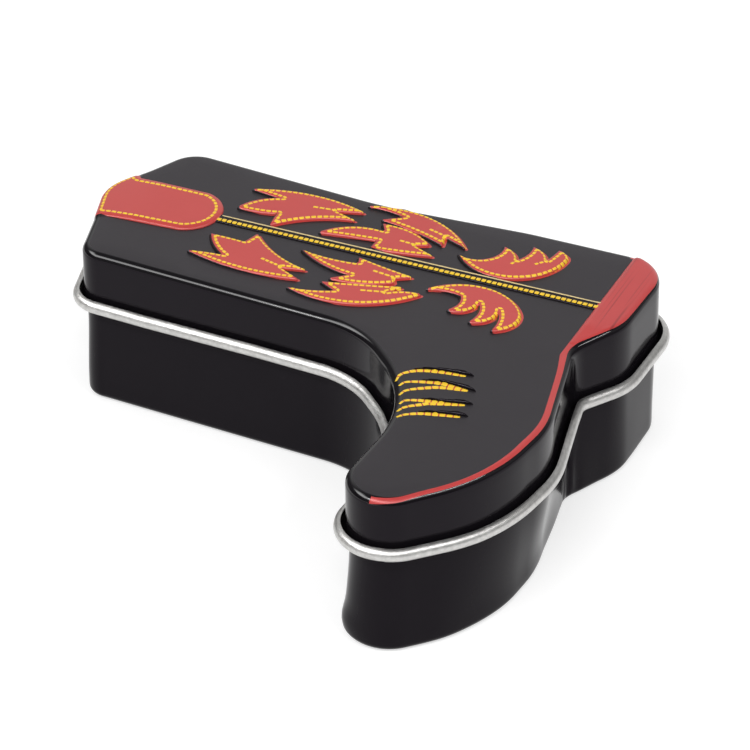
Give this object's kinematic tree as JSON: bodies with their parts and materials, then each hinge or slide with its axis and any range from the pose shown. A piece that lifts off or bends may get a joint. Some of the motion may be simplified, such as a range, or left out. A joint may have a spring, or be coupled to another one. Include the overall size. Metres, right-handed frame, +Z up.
{
  "type": "mint tin",
  "caption": "Boot-shaped slip-lid mint tin: drawn tinplate base, lift-off lid with curled edge and embossed western-boot stitching, round peppermint tablets inside.",
  "frame": {"origin": "on the standing surface, under the middle of the lid's plan", "axes": "+X from the boot top to the sole along the side seam, +Y from the toe side to the back of the leg, +Z up"},
  "size_m": [0.0832, 0.0734, 0.0236],
  "materials": {
    "base_tin": "gloss black lacquer on tinplate",
    "lid_tin": "satin black print on tinplate with red and yellow embossed ornament, bare curl",
    "peppermint": "chalky pressed tablet"
  },
  "bodies": {
    "base": {"base": "base_tin", "peppermints": "peppermint"},
    "lid": {"lid": "lid_tin"}
  },
  "joints": [
    {"name": "lid_lift", "type": "slide", "parent": "base", "child": "lid", "axis": [0, 0, 1], "range_m": [0, 0.03]}
  ]
}
